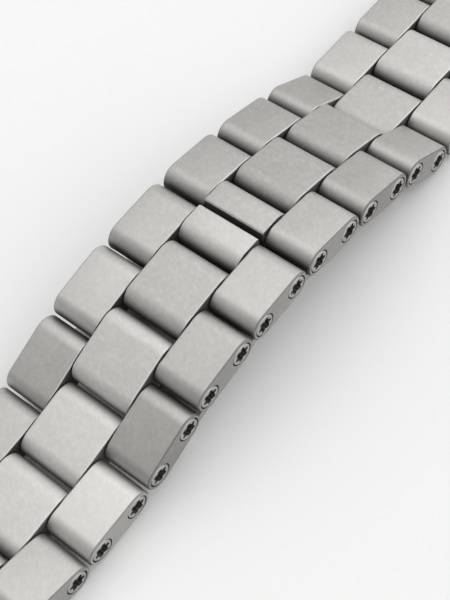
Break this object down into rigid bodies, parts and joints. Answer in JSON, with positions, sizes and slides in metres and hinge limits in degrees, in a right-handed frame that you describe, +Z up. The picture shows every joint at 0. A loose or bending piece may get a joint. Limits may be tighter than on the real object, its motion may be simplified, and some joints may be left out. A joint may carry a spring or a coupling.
{
  "type": "link watch bracelet",
  "caption": "Flexible steel watch bracelet: round-ended outer and centre links turn on screwed tubes, with a hidden folding clasp and end links on spring bars.",
  "frame": {"origin": "on the table that the bracelet lies on, under the middle of the clasp", "axes": "+X across the strap, +Y along it from the lower strand to the upper one, +Z up"},
  "size_m": [0.022, 0.1207, 0.0114],
  "materials": {
    "outer_steel": "bead-blasted satin",
    "centre_steel": "bead-blasted satin",
    "end_steel": "bead-blasted satin",
    "screw_steel": "fine turned",
    "pin_steel": "ground",
    "clasp_steel": "fine satin",
    "bar_steel": "turned"
  },
  "bodies": {
    "clasp": {"clasp_bridge": "clasp_steel", "clasp_hinge_pins": "pin_steel"},
    "lower_arm": {"lower_clasp_arm": "clasp_steel", "lower_half_link": "centre_steel"},
    "lower_row_1": {"lower_outer_links_1": "outer_steel", "lower_link_screws_1": "screw_steel", "lower_link_tubes_1": "pin_steel"},
    "lower_centre_1": {"lower_centre_link_1": "centre_steel"},
    "lower_row_2": {"lower_outer_links_2": "outer_steel", "lower_link_screws_2": "screw_steel", "lower_link_tubes_2": "pin_steel"},
    "lower_centre_2": {"lower_centre_link_2": "centre_steel"},
    "lower_row_3": {"lower_outer_links_3": "outer_steel", "lower_link_screws_3": "screw_steel", "lower_link_tubes_3": "pin_steel"},
    "lower_centre_3": {"lower_centre_link_3": "centre_steel"},
    "lower_row_4": {"lower_outer_links_4": "outer_steel", "lower_link_screws_4": "screw_steel", "lower_link_tubes_4": "pin_steel"},
    "lower_centre_4": {"lower_centre_link_4": "centre_steel"},
    "lower_row_5": {"lower_outer_links_5": "outer_steel", "lower_link_screws_5": "screw_steel", "lower_link_tubes_5": "pin_steel"},
    "lower_centre_5": {"lower_centre_link_5": "centre_steel"},
    "lower_row_6": {"lower_outer_links_6": "outer_steel", "lower_link_screws_6": "screw_steel", "lower_link_tubes_6": "pin_steel"},
    "lower_end": {"lower_end_link": "end_steel", "lower_spring_bar_tube": "bar_steel"},
    "lower_bar_tip_left_body": {"lower_bar_tip_left": "bar_steel"},
    "lower_bar_tip_right_body": {"lower_bar_tip_right": "bar_steel"},
    "upper_arm": {"upper_clasp_arm": "clasp_steel", "upper_half_link": "centre_steel"},
    "upper_row_1": {"upper_outer_links_1": "outer_steel", "upper_link_screws_1": "screw_steel", "upper_link_tubes_1": "pin_steel"},
    "upper_centre_1": {"upper_centre_link_1": "centre_steel"},
    "upper_row_2": {"upper_outer_links_2": "outer_steel", "upper_link_screws_2": "screw_steel", "upper_link_tubes_2": "pin_steel"},
    "upper_centre_2": {"upper_centre_link_2": "centre_steel"},
    "upper_row_3": {"upper_outer_links_3": "outer_steel", "upper_link_screws_3": "screw_steel", "upper_link_tubes_3": "pin_steel"},
    "upper_centre_3": {"upper_centre_link_3": "centre_steel"},
    "upper_row_4": {"upper_outer_links_4": "outer_steel", "upper_link_screws_4": "screw_steel", "upper_link_tubes_4": "pin_steel"},
    "upper_centre_4": {"upper_centre_link_4": "centre_steel"},
    "upper_row_5": {"upper_outer_links_5": "outer_steel", "upper_link_screws_5": "screw_steel", "upper_link_tubes_5": "pin_steel"},
    "upper_centre_5": {"upper_centre_link_5": "centre_steel"},
    "upper_row_6": {"upper_outer_links_6": "outer_steel", "upper_link_screws_6": "screw_steel", "upper_link_tubes_6": "pin_steel"},
    "upper_end": {"upper_end_link": "end_steel", "upper_spring_bar_tube": "bar_steel"},
    "upper_bar_tip_left_body": {"upper_bar_tip_left": "bar_steel"},
    "upper_bar_tip_right_body": {"upper_bar_tip_right": "bar_steel"}
  },
  "joints": [
    {"name": "lower_arm_hinge", "type": "hinge", "parent": "clasp", "child": "lower_arm", "pos_m": [0, -0.019, 0.00125], "axis": [1, 0, 0], "range_deg": [0, 150]},
    {"name": "lower_row_1_hinge", "type": "hinge", "parent": "lower_arm", "child": "lower_row_1", "pos_m": [0, -0.00195, 0.0095], "axis": [1, 0, 0], "range_deg": [-150, 0]},
    {"name": "lower_centre_1_hinge", "type": "hinge", "parent": "lower_row_1", "child": "lower_centre_1", "pos_m": [0, -0.00729, 0.00917], "axis": [-1, 0, 0], "range_deg": [-5, 34]},
    {"name": "lower_row_2_hinge", "type": "hinge", "parent": "lower_centre_1", "child": "lower_row_2", "pos_m": [0, -0.01111, 0.00867], "axis": [1, 0, 0], "range_deg": [-34, 7]},
    {"name": "lower_centre_2_hinge", "type": "hinge", "parent": "lower_row_2", "child": "lower_centre_2", "pos_m": [0, -0.01635, 0.0076], "axis": [-1, 0, 0], "range_deg": [-16, 40.5]},
    {"name": "lower_row_3_hinge", "type": "hinge", "parent": "lower_centre_2", "child": "lower_row_3", "pos_m": [0, -0.01992, 0.00616], "axis": [1, 0, 0], "range_deg": [-32, 35]},
    {"name": "lower_centre_3_hinge", "type": "hinge", "parent": "lower_row_3", "child": "lower_centre_3", "pos_m": [0, -0.02481, 0.00399], "axis": [-1, 0, 0], "range_deg": [-70.5, 19.5]},
    {"name": "lower_row_4_hinge", "type": "hinge", "parent": "lower_centre_3", "child": "lower_row_4", "pos_m": [0, -0.02855, 0.00309], "axis": [1, 0, 0], "range_deg": [-22.5, 67.5]},
    {"name": "lower_centre_4_hinge", "type": "hinge", "parent": "lower_row_4", "child": "lower_centre_4", "pos_m": [0, -0.03387, 0.00253], "axis": [-1, 0, 0], "range_deg": [-58, 32]},
    {"name": "lower_row_5_hinge", "type": "hinge", "parent": "lower_centre_4", "child": "lower_row_5", "pos_m": [0, -0.03768, 0.00199], "axis": [1, 0, 0], "range_deg": [-9, 81]},
    {"name": "lower_centre_5_hinge", "type": "hinge", "parent": "lower_row_5", "child": "lower_centre_5", "pos_m": [0, -0.0429, 0.0032], "axis": [-1, 0, 0], "range_deg": [-41, 49]},
    {"name": "lower_row_6_hinge", "type": "hinge", "parent": "lower_centre_5", "child": "lower_row_6", "pos_m": [0, -0.04673, 0.00279], "axis": [1, 0, 0], "range_deg": [-33, 57]},
    {"name": "lower_end_hinge", "type": "hinge", "parent": "lower_row_6", "child": "lower_end", "pos_m": [0, -0.05201, 0.00196], "axis": [-1, 0, 0], "range_deg": [-68, 22]},
    {"name": "lower_bar_tip_left_slide", "type": "slide", "parent": "lower_end", "child": "lower_bar_tip_left_body", "axis": [-1, 0, 0], "range_m": [-0.0011, 0], "stiffness_N_per_m": 800, "springref_m": 0.0006},
    {"name": "lower_bar_tip_right_slide", "type": "slide", "parent": "lower_end", "child": "lower_bar_tip_right_body", "axis": [1, 0, 0], "range_m": [-0.0011, 0], "stiffness_N_per_m": 800, "springref_m": 0.0006},
    {"name": "upper_arm_hinge", "type": "hinge", "parent": "clasp", "child": "upper_arm", "pos_m": [0, 0.019, 0.00125], "axis": [-1, 0, 0], "range_deg": [0, 150]},
    {"name": "upper_row_1_hinge", "type": "hinge", "parent": "upper_arm", "child": "upper_row_1", "pos_m": [0, 0.00195, 0.0095], "axis": [-1, 0, 0], "range_deg": [-150, 0]},
    {"name": "upper_centre_1_hinge", "type": "hinge", "parent": "upper_row_1", "child": "upper_centre_1", "pos_m": [0, 0.00725, 0.00876], "axis": [1, 0, 0], "range_deg": [-1.5, 33.5]},
    {"name": "upper_row_2_hinge", "type": "hinge", "parent": "upper_centre_1", "child": "upper_row_2", "pos_m": [0, 0.01102, 0.00799], "axis": [-1, 0, 0], "range_deg": [-34, 2.5]},
    {"name": "upper_centre_2_hinge", "type": "hinge", "parent": "upper_row_2", "child": "upper_centre_2", "pos_m": [0, 0.01618, 0.00656], "axis": [1, 0, 0], "range_deg": [-7, 33]},
    {"name": "upper_row_3_hinge", "type": "hinge", "parent": "upper_centre_2", "child": "upper_row_3", "pos_m": [0, 0.01983, 0.00534], "axis": [-1, 0, 0], "range_deg": [-40, 23]},
    {"name": "upper_centre_3_hinge", "type": "hinge", "parent": "upper_row_3", "child": "upper_centre_3", "pos_m": [0, 0.02453, 0.00278], "axis": [1, 0, 0], "range_deg": [-84, 6]},
    {"name": "upper_row_4_hinge", "type": "hinge", "parent": "upper_centre_3", "child": "upper_row_4", "pos_m": [0, 0.02837, 0.00248], "axis": [-1, 0, 0], "range_deg": [-25.5, 64.5]},
    {"name": "upper_centre_4_hinge", "type": "hinge", "parent": "upper_row_4", "child": "upper_centre_4", "pos_m": [0, 0.03372, 0.00248], "axis": [1, 0, 0], "range_deg": [-56, 34]},
    {"name": "upper_row_5_hinge", "type": "hinge", "parent": "upper_centre_4", "child": "upper_row_5", "pos_m": [0, 0.03756, 0.00221], "axis": [-1, 0, 0], "range_deg": [-26, 64]},
    {"name": "upper_centre_5_hinge", "type": "hinge", "parent": "upper_row_5", "child": "upper_centre_5", "pos_m": [0, 0.04291, 0.00221], "axis": [1, 0, 0], "range_deg": [-58, 32]},
    {"name": "upper_row_6_hinge", "type": "hinge", "parent": "upper_centre_5", "child": "upper_row_6", "pos_m": [0, 0.04676, 0.00208], "axis": [-1, 0, 0], "range_deg": [-29, 61]},
    {"name": "upper_end_hinge", "type": "hinge", "parent": "upper_row_6", "child": "upper_end", "pos_m": [0, 0.0521, 0.00199], "axis": [1, 0, 0], "range_deg": [-61, 29]},
    {"name": "upper_bar_tip_left_slide", "type": "slide", "parent": "upper_end", "child": "upper_bar_tip_left_body", "axis": [-1, 0, 0], "range_m": [-0.0011, 0], "stiffness_N_per_m": 800, "springref_m": 0.0006},
    {"name": "upper_bar_tip_right_slide", "type": "slide", "parent": "upper_end", "child": "upper_bar_tip_right_body", "axis": [1, 0, 0], "range_m": [-0.0011, 0], "stiffness_N_per_m": 800, "springref_m": 0.0006}
  ],
  "couplings": [
    {"joint": "lower_row_1_hinge", "follows": "lower_arm_hinge", "ratio": -1},
    {"joint": "upper_row_1_hinge", "follows": "upper_arm_hinge", "ratio": -1}
  ]
}
